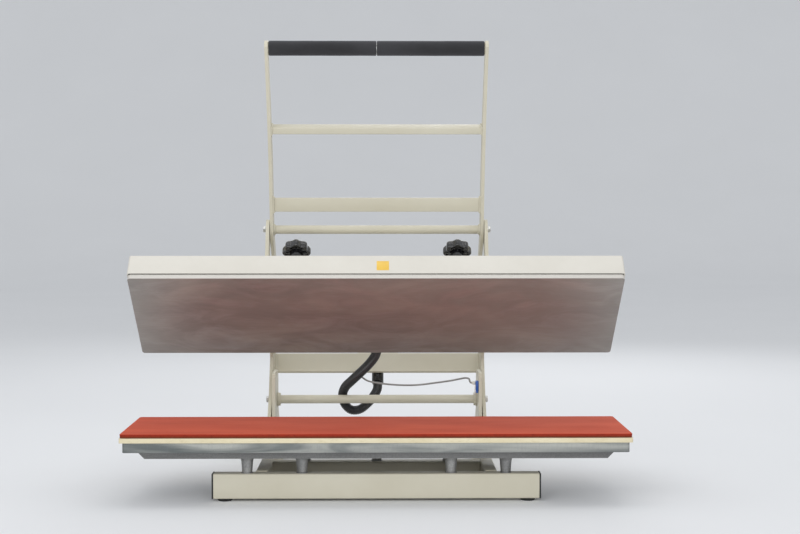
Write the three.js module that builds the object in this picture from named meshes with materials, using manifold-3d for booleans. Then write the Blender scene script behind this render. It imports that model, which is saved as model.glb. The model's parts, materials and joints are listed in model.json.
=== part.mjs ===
// Bench trouser press: a long clamshell press with a hand lever.
// A casting on a welded steel base carries a board and a silicone pad. Two L-shaped arms hinge on
// a tube between fixed uprights and hang the heated platen from a beam by two pressure screws.
// A U-shaped lever with a foam grip pivots at the top of the arms.
// Millimetres, +Z up, +X to the operator's right, +Y away from the operator. The press stands open.

import * as THREE from 'three';
import { mergeVertices } from 'three/addons/utils/BufferGeometryUtils.js';
import Module from 'manifold-3d';

const wasm = await Module();
wasm.setup();

// ---------- driving dimensions ----------
const GAP = 0.3;                      // space left between touching pieces
const PLATEN = { width: 1000, depth: 250, thickness: 10.5, corner: 6 };
const COVER = { height: 46, overhang: 2, wall: 2, gap: 1.5, corner: 5 };
const PAD = { width: 1000, depth: 245, thickness: 8.2 };
const BOARD = { width: 1000, depth: 252, thickness: 8.9 };
const CASTING = { width: 988, depth: 240, thickness: 19, ribHeight: 16, ribInset: 27 };
const BASE = { height: 50, foot: 5, frontHalf: 323, beamDepth: 30, wall: 3, cap: 3 };
const FOOT = { bottom: 14, top: 15, inset: 22 };
const LEG = { bottom: 10, top: 12.6, frontX: [-257, -148, 148, 257], rearX: [-148, 0, 148] };
const RAIL = { inner: 216, outer: 242 };
const HINGE = { height: 154, tubeRadius: 9.6, bore: 5.2 };
const COLLAR = { radius: 14.5, width: 7 };
const OPEN_ANGLE = THREE.MathUtils.degToRad(42);
const PAD_TOP = 141.7;
const CLOSED_CLEARANCE = 0.5;         // between the closed platen and the pad
const FRONT = -441;                   // front edge of the board, measured from the hinge axis
const BACK = 200;                     // back face of the base, measured from the hinge axis
const HINGE_Y = -(FRONT + BACK) / 2;  // the row's origin is the middle of the footprint

const UPRIGHT = { inner: 223.6, outer: 230.6, front: -70, back: 32, top: 66 };
const ARM = { inner: 233.7, outer: 241.2, half: 25, tail: -70, top: 142, bottom: 90 };
const LEVER_PIVOT = { y: -306, z: 237, radius: 22 };   // in the arm's closed frame
const LEVER = { inner: 225.5, outer: 232.5, lean: THREE.MathUtils.degToRad(9) };
const GRIP = { y: -82, z: 396, tubeRadius: 11, foamRadius: 15.6 };
const TAIL = { y: 44, z: -74, radius: 16, rodRadius: 6 };
const CROSSBAR = { y: -25, z: 222, halfDepth: 15.5, halfHeight: 7.2, tip: THREE.MathUtils.degToRad(10) };
const SCREW = { x: 172.5, y: -317, radius: 5, foot: 62, knobBase: 157 };
const POST = { x: 96, radius: 6 };
const BEAM = { depth: 40, bottom: 84, top: 122, wall: 3 };
const REAR_PLATE = { front: 14, back: 20, bottom: 86.5, top: 138 };
const TERMINAL_BOX = { left: -46, right: 48, depth: 34, bottom: 115, top: 152 };
const GLAND = { x: 1, y: 36, bottom: 69, radius: 13.6, collarRadius: 15, collarHeight: 9 };
const HOSE = { radius: 10.5, sides: 12, steps: 44, exitHeight: 26 };
const WIRE = { radius: 2, sides: 8, steps: 70 };
const KNOB = { radius: 30.5, height: 20, lobes: 8, hubRadius: 14, hubHeight: 12 };
const BOLT = { shank: 4.9, head: 7.4, headHeight: 5.3, washer: 9.5, washerThickness: 1.5 };

const paint = material(0xc8c3b2, 0.5, 0.1);
const coverPaint = material(0xe1e1da, 0.45, 0.1);
const aluminium = material(0x9a9690, 0.4, 0.9);
const castAluminium = material(0x9ba3ab, 0.6, 0.8);
const silicone = material(0xb95a3c, 0.75, 0);
const boardMaterial = material(0xe1d7b9, 0.7, 0);
const blackPlastic = material(0x141414, 0.25, 0);
const foam = material(0x3c3c3e, 0.95, 0);
const rubber = material(0x1c1c1c, 0.9, 0);
const zinc = material(0xb9bbbe, 0.35, 0.9);
const hosePlastic = material(0x18181a, 0.5, 0);
const wireGrey = material(0x9b9b9b, 0.6, 0);
const switchBlue = material(0x2f62b4, 0.5, 0);
const whitePlastic = material(0xe6e4dc, 0.5, 0);

function material(color, roughness, metalness) {
  return new THREE.MeshStandardMaterial({ color, roughness, metalness });
}

const press = new THREE.Group();
const base = new THREE.Group();       // origin on the hinge axis, axes as the row's
base.position.set(0, HINGE_Y, HINGE.height);
const arm = new THREE.Group();        // origin on the hinge axis, axes level when the press is closed
arm.rotation.x = -OPEN_ANGLE;
const lever = new THREE.Group();      // origin on the lever's pivot, +Z along the lever
lever.position.set(0, LEVER_PIVOT.y, LEVER_PIVOT.z);
lever.rotation.x = OPEN_ANGLE + LEVER.lean;
press.add(base);
base.add(arm);
arm.add(lever);

const SIDES = [['left', -1], ['right', 1]];
const FLOOR = -HINGE.height;          // ground level in the base group
const BEAM_TOP = FLOOR + BASE.foot + BASE.height;
const FRONT_BEAM = FRONT + 52;        // front face of the front beam
const SUPPORT_Y = -232;               // middle of the support beam
const PLATEN_FACE = PAD_TOP + CLOSED_CLEARANCE - HINGE.height;
const COVER_BOTTOM = PLATEN_FACE + PLATEN.thickness + COVER.gap;
const COVER_TOP = COVER_BOTTOM + COVER.height;

// ---------- helpers ----------
function add(parent, name, geometry, meshMaterial, x = 0, y = 0, z = 0) {
  const mesh = new THREE.Mesh(geometry, meshMaterial);
  mesh.name = name;
  mesh.position.set(x, y, z);
  parent.add(mesh);
  return mesh;
}

// A box given by its lowest and highest corners.
function block(x0, x1, y0, y1, z0, z1) {
  const geometry = new THREE.BoxGeometry(x1 - x0, y1 - y0, z1 - z0);
  geometry.translate((x0 + x1) / 2, (y0 + y1) / 2, (z0 + z1) / 2);
  return geometry;
}

// A cylinder or cone along Z.
function rod(radius, z0, z1, segments = 24, topRadius = radius) {
  const geometry = new THREE.CylinderGeometry(topRadius, radius, z1 - z0, segments);
  geometry.rotateX(Math.PI / 2);
  geometry.translate(0, 0, (z0 + z1) / 2);
  return geometry;
}

// Turns a geometry made along Z so that it lies along +X.
function alongX(geometry) {
  geometry.applyMatrix4(new THREE.Matrix4().makeBasis(
    new THREE.Vector3(0, 1, 0), new THREE.Vector3(0, 0, 1), new THREE.Vector3(1, 0, 0)));
  return geometry;
}

// A ring or tube along Z.
function ring(outer, inner, z0, z1, segments = 12) {
  const shape = new THREE.Shape().absarc(0, 0, outer, 0, Math.PI * 2);
  shape.holes.push(new THREE.Path().absarc(0, 0, inner, 0, Math.PI * 2, true));
  const geometry = new THREE.ExtrudeGeometry(shape, {
    depth: z1 - z0, bevelEnabled: false, curveSegments: segments });
  geometry.translate(0, 0, z0);
  return geometry;
}

// A flat plate: an outline in the YZ plane, thick from x0 to x1.
function sidePlate(shape, x0, x1, segments = 8) {
  const geometry = new THREE.ExtrudeGeometry(shape, {
    depth: x1 - x0, bevelEnabled: false, curveSegments: segments });
  geometry.translate(0, 0, x0);
  return alongX(geometry);
}

function mirroredPlate(shape, inner, outer, side, segments) {
  return side > 0 ? sidePlate(shape, inner, outer, segments) : sidePlate(shape, -outer, -inner, segments);
}

function circleHole(shape, y, z, radius) {
  shape.holes.push(new THREE.Path().absarc(y, z, radius, 0, Math.PI * 2, true));
}

function roundedRect(x0, y0, x1, y1, r) {
  const shape = new THREE.Shape();
  shape.moveTo(x0 + r, y0);
  shape.lineTo(x1 - r, y0);
  shape.absarc(x1 - r, y0 + r, r, -Math.PI / 2, 0);
  shape.lineTo(x1, y1 - r);
  shape.absarc(x1 - r, y1 - r, r, 0, Math.PI / 2);
  shape.lineTo(x0 + r, y1);
  shape.absarc(x0 + r, y1 - r, r, Math.PI / 2, Math.PI);
  shape.lineTo(x0, y0 + r);
  shape.absarc(x0 + r, y0 + r, r, Math.PI, Math.PI * 1.5);
  return shape;
}

// A rounded slab in the XY plane, from z0 to z1.
function slab(width, y0, y1, z0, z1, radius) {
  const geometry = new THREE.ExtrudeGeometry(roundedRect(-width / 2, y0, width / 2, y1, radius), {
    depth: z1 - z0, bevelEnabled: false, curveSegments: 4 });
  geometry.translate(0, 0, z0);
  return geometry;
}

// A rectangular hollow section along Z: half sizes a and b.
function hollowSection(a, b, wall, z0, z1) {
  const shape = roundedRect(-a, -b, a, b, wall);
  const inner = roundedRect(-a + wall, -b + wall, a - wall, b - wall, wall / 2);
  shape.holes.push(new THREE.Path(inner.getPoints(2).reverse()));
  const geometry = new THREE.ExtrudeGeometry(shape, {
    depth: z1 - z0, bevelEnabled: false, curveSegments: 2 });
  geometry.translate(0, 0, z0);
  return geometry;
}

function toSolid(geometry) {
  const clean = geometry.index ? geometry.toNonIndexed() : geometry.clone();
  clean.deleteAttribute('normal');
  clean.deleteAttribute('uv');
  const merged = mergeVertices(clean, 1e-4);
  return new wasm.Manifold(new wasm.Mesh({
    numProp: 3,
    vertProperties: new Float32Array(merged.attributes.position.array),
    triVerts: new Uint32Array(merged.index.array) }));
}

function toGeometry(solid) {
  const mesh = solid.getMesh();
  const geometry = new THREE.BufferGeometry();
  geometry.setAttribute('position', new THREE.BufferAttribute(new Float32Array(mesh.vertProperties), 3));
  geometry.setIndex(new THREE.BufferAttribute(new Uint32Array(mesh.triVerts), 1));
  geometry.computeVertexNormals();
  return geometry;
}

function union(...geometries) {
  return toGeometry(geometries.map(toSolid).reduce((a, b) => a.add(b)));
}

function cut(geometry, ...tools) {
  return toGeometry(tools.map(toSolid).reduce((a, b) => a.subtract(b), toSolid(geometry)));
}

// ---------- base frame ----------
function addBaseFrame() {
  const z0 = FLOOR + BASE.foot;
  const z1 = BEAM_TOP;
  const mid = (z0 + z1) / 2;
  const backBeam = BACK - BASE.beamDepth;
  const half = BASE.height / 2;
  const halfDepth = BASE.beamDepth / 2;
  for (const [name, y] of [['front', FRONT_BEAM], ['rear', backBeam]]) {
    const section = hollowSection(halfDepth, half, BASE.wall, -BASE.frontHalf, BASE.frontHalf);
    add(base, `${name}_beam`, alongX(section), paint, 0, y + halfDepth, mid);
    for (const [sideName, side] of SIDES) {
      const cap = block(-BASE.cap / 2, BASE.cap / 2, -halfDepth, halfDepth, -half, half);
      add(base, `${name}_cap_${sideName}`, cap, blackPlastic,
        side * (BASE.frontHalf + GAP + BASE.cap / 2), y + halfDepth, mid);
      add(base, `${name}_foot_${sideName}`, rod(FOOT.bottom, FLOOR, z0 - GAP, 20, FOOT.top), rubber,
        side * (BASE.frontHalf - FOOT.inset), y + halfDepth, 0);
    }
  }
  const railStart = FRONT_BEAM + BASE.beamDepth + GAP;
  const railEnd = backBeam - GAP;
  for (const [sideName, side] of SIDES) {
    const section = hollowSection((RAIL.outer - RAIL.inner) / 2, half, BASE.wall, railStart, railEnd);
    section.rotateX(-Math.PI / 2);
    add(base, `rail_${sideName}`, section, paint, side * (RAIL.outer + RAIL.inner) / 2, 0, mid);
  }
  const supportEnd = RAIL.inner - GAP;
  const support = hollowSection(halfDepth, half, BASE.wall, -supportEnd, supportEnd);
  add(base, 'support_beam', alongX(support), paint, 0, SUPPORT_Y, mid);
}

// ---------- lower bed: casting, board and pad ----------
function addLowerBed() {
  const padTop = PAD_TOP - HINGE.height;
  const padBottom = padTop - PAD.thickness;
  const boardTop = padBottom - GAP;
  const boardBottom = boardTop - BOARD.thickness;
  const castTop = boardBottom - GAP;
  const castBottom = castTop - CASTING.thickness;
  const front = FRONT + 3;
  const back = front + CASTING.depth;
  const ribBottom = castBottom - CASTING.ribHeight;
  const inset = CASTING.ribInset;
  const halfRib = CASTING.width / 2 - inset;

  const ribShape = new THREE.Shape();
  ribShape.moveTo(-halfRib, castBottom + 1);
  ribShape.lineTo(-halfRib, castBottom - 4);
  ribShape.lineTo(-halfRib + 12, ribBottom);
  ribShape.lineTo(halfRib - 12, ribBottom);
  ribShape.lineTo(halfRib, castBottom - 4);
  ribShape.lineTo(halfRib, castBottom + 1);
  const rib = new THREE.ExtrudeGeometry(ribShape, { depth: CASTING.depth - 2 * inset, bevelEnabled: false });
  rib.rotateX(Math.PI / 2);
  rib.translate(0, back - inset, 0);
  const plate = slab(CASTING.width, front, back, castBottom, castTop, 6);
  add(base, 'bed_casting', union(plate, rib), castAluminium);

  const addLeg = (name, x, y) => {
    const leg = rod(LEG.bottom, BEAM_TOP + GAP, ribBottom - GAP, 20, LEG.top);
    add(base, name, leg, castAluminium, x, y, 0);
  };
  LEG.frontX.forEach((x, i) => addLeg(`front_leg_${i + 1}`, x, FRONT_BEAM + BASE.beamDepth / 2));
  LEG.rearX.forEach((x, i) => addLeg(`rear_leg_${i + 1}`, x, SUPPORT_Y));
  add(base, 'press_board', slab(BOARD.width, FRONT, FRONT + BOARD.depth, boardBottom, boardTop, 4),
    boardMaterial);
  add(base, 'silicone_pad', slab(PAD.width - 1, FRONT + 4, FRONT + 4 + PAD.depth, padBottom, padTop, 5),
    silicone);
}

// ---------- fixed uprights, hinge tube, limit switch ----------
function addUprights() {
  const shape = new THREE.Shape();
  const foot = BEAM_TOP + GAP;
  shape.moveTo(UPRIGHT.front - 24, foot);
  shape.lineTo(UPRIGHT.back + 60, foot);
  shape.lineTo(UPRIGHT.back + 60, foot + 16);
  shape.lineTo(UPRIGHT.back, -20);
  shape.lineTo(UPRIGHT.back, UPRIGHT.top - 28);
  shape.absarc(UPRIGHT.back - 28, UPRIGHT.top - 28, 28, 0, Math.PI / 2);
  shape.lineTo(UPRIGHT.front + 12, UPRIGHT.top);
  shape.absarc(UPRIGHT.front + 12, UPRIGHT.top - 12, 12, Math.PI / 2, Math.PI);
  shape.lineTo(UPRIGHT.front, -62);
  shape.lineTo(UPRIGHT.front - 24, foot + 12);
  circleHole(shape, 0, 0, BOLT.shank + GAP);
  for (const [sideName, side] of SIDES) {
    add(base, `upright_${sideName}`, mirroredPlate(shape, UPRIGHT.inner, UPRIGHT.outer, side), paint);
  }
  const tubeEnd = UPRIGHT.inner - GAP;
  const tube = union(ring(HINGE.tubeRadius, HINGE.bore, -tubeEnd, tubeEnd),
    ring(COLLAR.radius, HINGE.tubeRadius - 1, tubeEnd - COLLAR.width, tubeEnd),
    ring(COLLAR.radius, HINGE.tubeRadius - 1, -tubeEnd, COLLAR.width - tubeEnd));
  add(base, 'hinge_tube', alongX(tube), paint);
  for (const [sideName, side] of SIDES) addPivotBolt(base, `hinge_${sideName}`, side, 0, 0);
}

// Turns a ring or rod made along +Z end for end.
function mirrorZ(geometry) {
  geometry.rotateX(Math.PI);
  return geometry;
}

// A bolt from outside the arm into the tube: shank, washer and hexagon head.
function addPivotBolt(parent, name, side, y, z) {
  const washerStart = ARM.outer + GAP;
  const headStart = washerStart + BOLT.washerThickness;
  const shank = rod(BOLT.shank, UPRIGHT.inner - 22, headStart + 1, 20);
  const washer = rod(BOLT.washer, washerStart, headStart, 24);
  const head = rod(BOLT.head, headStart - 0.5, headStart + BOLT.headHeight, 6);
  const bolt = union(shank, washer, head);
  add(parent, `${name}_bolt`, alongX(side > 0 ? bolt : mirrorZ(bolt)), zinc, 0, y, z);
}

function addLimitSwitch() {
  const face = UPRIGHT.inner - GAP;
  const body = block(face - 6.2, face, -66, -48, 21, 47);
  add(base, 'limit_switch', body, switchBlue);
  const bar = block(face - 9.2, face - 7, -68.6, -67, 19, 40);
  const hook = block(face - 9.2, face - 7, -68.6, -58, 17, 19.2);
  add(base, 'switch_lever', union(bar, hook), zinc);
}

// ---------- swinging arms ----------
function armOutline() {
  const shape = new THREE.Shape();
  const { half, tail, top, bottom } = ARM;
  const pivot = LEVER_PIVOT;
  const frontEnd = SCREW.y - BEAM.depth / 2 - 6;
  shape.moveTo(-half, tail + 12);
  shape.absarc(-half + 12, tail + 12, 12, Math.PI, Math.PI * 1.5);
  shape.lineTo(half - 12, tail);
  shape.absarc(half - 12, tail + 12, 12, -Math.PI / 2, 0);
  shape.lineTo(half, top - 20);
  shape.absarc(half - 20, top - 20, 20, 0, Math.PI / 2);
  shape.lineTo(-215, top);
  shape.bezierCurveTo(-250, top, -268, top + 30, pivot.y + pivot.radius, pivot.z);
  shape.absarc(pivot.y, pivot.z, pivot.radius, 0, Math.PI);
  shape.bezierCurveTo(pivot.y - 20, 205, -303, 190, -303, 158);
  shape.lineTo(-306, top - 6);
  shape.lineTo(frontEnd, top - 12);
  shape.lineTo(frontEnd, bottom - 4);
  shape.lineTo(-84, bottom - 4);
  shape.bezierCurveTo(-60, bottom - 4, -51, bottom - 6, -48, bottom - 14);
  shape.lineTo(-half, -8);
  circleHole(shape, 0, 0, BOLT.shank + GAP);
  circleHole(shape, pivot.y, pivot.z, BOLT.shank + GAP);
  return shape;
}

function addArms() {
  const outline = armOutline();
  for (const [sideName, side] of SIDES) {
    add(arm, `arm_${sideName}`, mirroredPlate(outline, ARM.inner, ARM.outer, side), paint);
    addPivotBolt(arm, `lever_${sideName}`, side, LEVER_PIVOT.y, LEVER_PIVOT.z);
  }
  const end = ARM.inner - GAP;
  const { front, back, bottom, top } = REAR_PLATE;
  add(arm, 'arm_rear_plate', block(-end, end, front, back, bottom, top), paint);

  const mid = (BEAM.bottom + BEAM.top) / 2;
  const section = hollowSection(BEAM.depth / 2, (BEAM.top - BEAM.bottom) / 2, BEAM.wall, -end, end);
  const beam = alongX(section);
  beam.translate(0, SCREW.y, mid);
  const upright = (radius, x, z0, z1, segments) => {
    const geometry = rod(radius, z0, z1, segments);
    geometry.translate(x, SCREW.y, 0);
    return geometry;
  };
  const bosses = [-SCREW.x, SCREW.x].map((x) => upright(9.5, x, BEAM.top - 1, BEAM.top + 8, 6));
  const hole = (radius, x) => upright(radius + 0.5, x, BEAM.bottom - 5, BEAM.top + 12, 20);
  const screwHoles = [-SCREW.x, SCREW.x].map((x) => hole(SCREW.radius, x));
  const postHoles = [-POST.x, POST.x].map((x) => hole(POST.radius, x));
  add(arm, 'pressure_beam', cut(union(beam, ...bosses), ...screwHoles, ...postHoles), paint);
}

// ---------- heated platen ----------
function addPlaten() {
  const front = FRONT + 1;
  const back = front + PLATEN.depth;
  const top = PLATEN_FACE + PLATEN.thickness;
  add(arm, 'platen', slab(PLATEN.width, front, back, PLATEN_FACE, top, PLATEN.corner), aluminium);

  const width = PLATEN.width + 2 * COVER.overhang;
  const coverFront = front - COVER.overhang;
  const coverBack = back + COVER.overhang;
  const wall = COVER.wall;
  const outer = slab(width, coverFront, coverBack, COVER_BOTTOM, COVER_TOP, COVER.corner);
  const inner = slab(width - 2 * wall, coverFront + wall, coverBack - wall,
    COVER_BOTTOM - 5, COVER_TOP - wall, COVER.corner - 1);
  const outlet = rod(HOSE.radius - 2, 0, 20, 20);
  outlet.rotateX(-Math.PI / 2);
  outlet.translate(0, back - 8, HOSE.exitHeight);
  add(arm, 'platen_cover', cut(outer, inner, outlet), coverPaint);

  for (const [sideName, side] of SIDES) {
    const x = side * SCREW.x;
    const plate = block(x - 45, x + 45, SCREW.y - 30, SCREW.y + 30, COVER_TOP + GAP, COVER_TOP + 6);
    const boss = rod(13, COVER_TOP + 5, SCREW.foot + 10, 24);
    boss.translate(x, SCREW.y, 0);
    const seat = rod(SCREW.radius + 0.5, SCREW.foot, SCREW.foot + 12, 20);
    seat.translate(x, SCREW.y, 0);
    add(arm, `platen_bracket_${sideName}`, cut(union(plate, boss), seat), paint);

    const collar = rod(POST.radius + 5, COVER_TOP + GAP, COVER_TOP + 8, 6);
    const post = rod(POST.radius, COVER_TOP + 2, BEAM.top + 6, 20);
    const nut = rod(POST.radius + 4, BEAM.top + GAP, BEAM.top + 9, 6);
    add(arm, `guide_post_${sideName}`, union(collar, post, nut), zinc, side * POST.x, SCREW.y, 0);
  }
}

// ---------- pressure screws ----------
function knobGeometry() {
  const shape = new THREE.Shape();
  const steps = 48;
  for (let i = 0; i < steps; i += 1) {
    const angle = (i / steps) * Math.PI * 2;
    const r = KNOB.radius - 2.6 * (0.5 - 0.5 * Math.cos(angle * KNOB.lobes)) - 2;
    if (i === 0) shape.moveTo(r, 0);
    else shape.lineTo(r * Math.cos(angle), r * Math.sin(angle));
  }
  const disc = new THREE.ExtrudeGeometry(shape, {
    depth: KNOB.height - 4, bevelEnabled: true, bevelThickness: 2, bevelSize: 2, bevelSegments: 1 });
  disc.translate(0, 0, SCREW.knobBase + 2);
  const hub = rod(KNOB.hubRadius - 2, SCREW.knobBase - KNOB.hubHeight, SCREW.knobBase + 1, 24,
    KNOB.hubRadius);
  return union(disc, hub);
}

function addPressureScrews() {
  for (const [sideName, side] of SIDES) {
    const x = side * SCREW.x;
    const bore = rod(SCREW.radius + GAP, SCREW.knobBase - 20, SCREW.knobBase + 10, 20);
    add(arm, `knob_${sideName}`, cut(knobGeometry(), bore), blackPlastic, x, SCREW.y, 0);
    const screw = rod(SCREW.radius, SCREW.foot + GAP, SCREW.knobBase + 9, 20);
    add(arm, `screw_${sideName}`, screw, zinc, x, SCREW.y, 0);
  }
}

// ---------- hand lever ----------
// Side outline of a lever plate: it leans further forward towards the grip.
function leverOutline() {
  const shape = new THREE.Shape();
  shape.moveTo(19, 0);
  shape.bezierCurveTo(17, 90, 14, 190, GRIP.y + 19, GRIP.z - 22);
  shape.lineTo(GRIP.y + 16, GRIP.z + 4);
  shape.absarc(GRIP.y, GRIP.z, 16, 0.3, 2.9);
  shape.bezierCurveTo(-28, 200, -22, 110, -19, 0);
  shape.bezierCurveTo(-18, -22, -2, -38, TAIL.y - 15, TAIL.z - 10);
  shape.absarc(TAIL.y, TAIL.z, TAIL.radius, Math.PI * 1.25, Math.PI * 2.25);
  shape.bezierCurveTo(28, -18, 22, -10, 19, 0);
  circleHole(shape, 0, 0, BOLT.shank + GAP);
  return shape;
}

function addLever() {
  const outline = leverOutline();
  for (const [sideName, side] of SIDES) {
    const plate = mirroredPlate(outline, LEVER.inner, LEVER.outer, side, 10);
    add(lever, `lever_plate_${sideName}`, plate, paint);
  }
  const end = LEVER.inner - GAP;
  add(lever, 'lever_pivot_tube', alongX(ring(9.4, HINGE.bore, -end, end)), paint);
  add(lever, 'lever_mid_bar', block(-end, end, -16, -9, 42, 72), paint);

  const crossbar = alongX(hollowSection(CROSSBAR.halfDepth, CROSSBAR.halfHeight, 2, -end, end));
  crossbar.rotateX(CROSSBAR.tip);
  add(lever, 'lever_crossbar', crossbar, paint, 0, CROSSBAR.y, CROSSBAR.z);

  const gripTube = ring(GRIP.tubeRadius, GRIP.tubeRadius - 2, -end, end);
  add(lever, 'grip_tube', alongX(gripTube), zinc, 0, GRIP.y, GRIP.z);
  for (const [sideName, side] of SIDES) {
    const sleeve = ring(GRIP.foamRadius, GRIP.tubeRadius + GAP, 0.4, end - 1);
    add(lever, `grip_foam_${sideName}`, alongX(side > 0 ? sleeve : mirrorZ(sleeve)), foam,
      0, GRIP.y, GRIP.z);
  }
  add(lever, 'tail_rod', alongX(rod(TAIL.rodRadius, -end, end, 16)), zinc, 0, TAIL.y, TAIL.z);
}

// ---------- heater hose and switch wire ----------
function cordTube(points, { radius, sides, steps }) {
  const vectors = points.map((point) => new THREE.Vector3(...point));
  const curve = new THREE.CatmullRomCurve3(vectors, false, 'centripetal');
  const section = new THREE.Shape();
  for (let i = 0; i < sides; i += 1) {
    const angle = (i / sides) * Math.PI * 2;
    if (i === 0) section.moveTo(radius, 0);
    else section.lineTo(radius * Math.cos(angle), radius * Math.sin(angle));
  }
  return new THREE.ExtrudeGeometry(section, { steps, extrudePath: curve, bevelEnabled: false });
}

// Points are [x, y, z] from the hinge axis, with the press open.
const HOSE_ROUTE = [
  [0, -115.1, 138.6], [0, -103, 127.5], [-3, -86, 108], [-15, -70, 89], [-37, -50, 65], [-58, -24, 43],
  [-72, 4, 26], [-78, 25, 6], [-73, 35, -16], [-59, 37, -29], [-40, 36, -28], [-22, 39, -15],
  [-8, 50, 1.5], [0, 62, 15], [1, 72.3, 26.5],
];
const WIRE_ROUTE = [
  [-33, -28, 52], [-24, -22, 45], [-12, -17, 40.5], [10, -14, 36.5], [36, -13, 33.8], [73, -12, 32.4],
  [100, -13, 34], [124, -16, 37.4], [146, -22, 41], [166, -30, 45], [184, -38, 49.5], [196, -45, 52.3],
  [203, -50, 51], [204.2, -54, 47.5], [206, -56, 43.7], [209, -56, 42.6],
];

function addHoseAndWire() {
  add(base, 'heater_hose', cordTube(HOSE_ROUTE, HOSE), hosePlastic);
  add(base, 'switch_wire', cordTube(WIRE_ROUTE, WIRE), wireGrey);

  const { left, right, depth, bottom, top } = TERMINAL_BOX;
  const boxFront = REAR_PLATE.back + GAP;
  add(arm, 'terminal_box', block(left, right, boxFront, boxFront + depth, bottom, top), whitePlastic);
  const collarBottom = bottom - GLAND.collarHeight;
  const gland = union(rod(GLAND.radius, GLAND.bottom, collarBottom + 1, 20),
    rod(GLAND.collarRadius, collarBottom, bottom - GAP, 6));
  add(arm, 'hose_gland', gland, blackPlastic, GLAND.x, GLAND.y, 0);
  const outlet = rod(GLAND.radius, 0, 9, 20);
  outlet.rotateX(-Math.PI / 2);
  outlet.translate(0, FRONT + 1 + PLATEN.depth + COVER.overhang + GAP, HOSE.exitHeight);
  add(arm, 'hose_outlet', outlet, blackPlastic);
}

addBaseFrame();
addLowerBed();
addUprights();
addLimitSwitch();
addArms();
addPlaten();
addPressureScrews();
addLever();
addHoseAndWire();

export default press;
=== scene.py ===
import json
import math

import bmesh
import bpy
from mathutils import Matrix, Vector, noise


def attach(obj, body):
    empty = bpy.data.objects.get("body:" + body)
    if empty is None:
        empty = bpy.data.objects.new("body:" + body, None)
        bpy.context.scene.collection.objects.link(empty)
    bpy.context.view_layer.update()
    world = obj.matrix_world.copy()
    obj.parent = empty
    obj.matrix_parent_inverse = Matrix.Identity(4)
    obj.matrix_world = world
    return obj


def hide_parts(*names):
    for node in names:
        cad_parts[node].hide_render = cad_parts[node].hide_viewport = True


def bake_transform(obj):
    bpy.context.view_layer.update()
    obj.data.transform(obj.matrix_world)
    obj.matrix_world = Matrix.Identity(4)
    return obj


# A long bench trouser press, standing open: a padded bed on a steel base, a heated platen on two
# swinging arms, two pressure knobs and a U-shaped lever with a foam grip.

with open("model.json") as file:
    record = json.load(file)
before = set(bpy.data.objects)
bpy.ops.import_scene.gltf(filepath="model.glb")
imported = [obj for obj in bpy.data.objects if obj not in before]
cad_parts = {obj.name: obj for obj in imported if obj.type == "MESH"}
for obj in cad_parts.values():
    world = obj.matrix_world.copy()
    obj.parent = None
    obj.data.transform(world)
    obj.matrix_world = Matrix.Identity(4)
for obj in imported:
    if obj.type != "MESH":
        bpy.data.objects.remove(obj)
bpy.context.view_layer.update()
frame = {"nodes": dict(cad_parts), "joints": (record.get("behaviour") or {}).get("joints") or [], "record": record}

NODES = frame["nodes"]
JOINTS = {joint["name"]: joint for joint in frame["joints"]}
SLOT_OF = {part["node"]: part["material_slot"] for part in frame["record"]["subparts"]}
SIDES = (("left", -1), ("right", 1))
MM = 0.001

# ---------- driving dimensions, in millimetres in each body's own frame, and counts ----------
OPEN_ANGLE = math.radians(JOINTS["platen_hinge"]["range_deg"][1])
LEVER_LEAN = math.radians(9)
HOSE = {"radius": 10.5, "pitch": 3.2, "groove": 1.2, "sides": 24}
WIRE = {"radius": 2.0, "sides": 12, "blend_ends": (110, -14, 35)}
GLAND = {"rib_pitch": 3.4, "bore": 10.8, "groove": 11.6, "rib": 13.4, "collar": 15, "collar_height": 9.5}
KNOB = {"radius": 30.5, "height": 20, "lobes": 8, "scallop": 4.6, "hub": 14, "hub_depth": 12}
SCREW = {"radius": 5, "pitch": 1.5, "depth": 0.75}
BOLT = {"shank": 4.9, "flats": 6.4, "height": 5.3, "washer": 9.5, "washer_height": 1.5}
GRIP = {"y": -82, "z": 396, "radius": 15.6, "bore": 11.3}
TAIL = {"y": 44, "z": -74, "radius": 6}
CROSSBAR = {"y": -25, "z": 222, "half_depth": 15.5, "half_height": 7.2, "tip": math.radians(10)}
PAD = {"cells_across": 120, "cells_deep": 22, "edge": 1.1, "corner": 5.0}
LABEL = {"x": 12.7, "above_cover_edge": 19.7, "half_width": 12.5, "half_height": 12}
WELD = {"radius": 2.6, "step": 1.2, "ripple": 3.1, "sides": 8}
COVER_SCREWS = (-440, -220, 220, 440)

# Where each cord runs at rest, in the base's frame.
HOSE_ROUTE = [
    (0, -115.1, 138.6), (0, -103, 127.5), (-3, -86, 108), (-15, -70, 89), (-37, -50, 65), (-58, -24, 43),
    (-72, 4, 26), (-78, 25, 6), (-73, 35, -16), (-59, 37, -29), (-40, 36, -28), (-22, 39, -15),
    (-8, 50, 1.5), (0, 62, 15), (1, 72.3, 26.5),
]
WIRE_ROUTE = [
    (-33, -28, 52), (-24, -22, 45), (-12, -17, 40.5), (10, -14, 36.5), (36, -13, 33.8), (73, -12, 32.4),
    (100, -13, 34), (124, -16, 37.4), (146, -22, 41), (166, -30, 45), (184, -38, 49.5), (196, -45, 52.3),
    (203, -50, 51), (204.2, -54, 47.5), (206, -56, 43.7), (209, -56, 42.6),
]


# ---------- places ----------
def at_joint(name, tilt=0.0):
    return Matrix.Translation(JOINTS[name]["pos_m"]) @ Matrix.Rotation(tilt, 4, "X")


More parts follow.
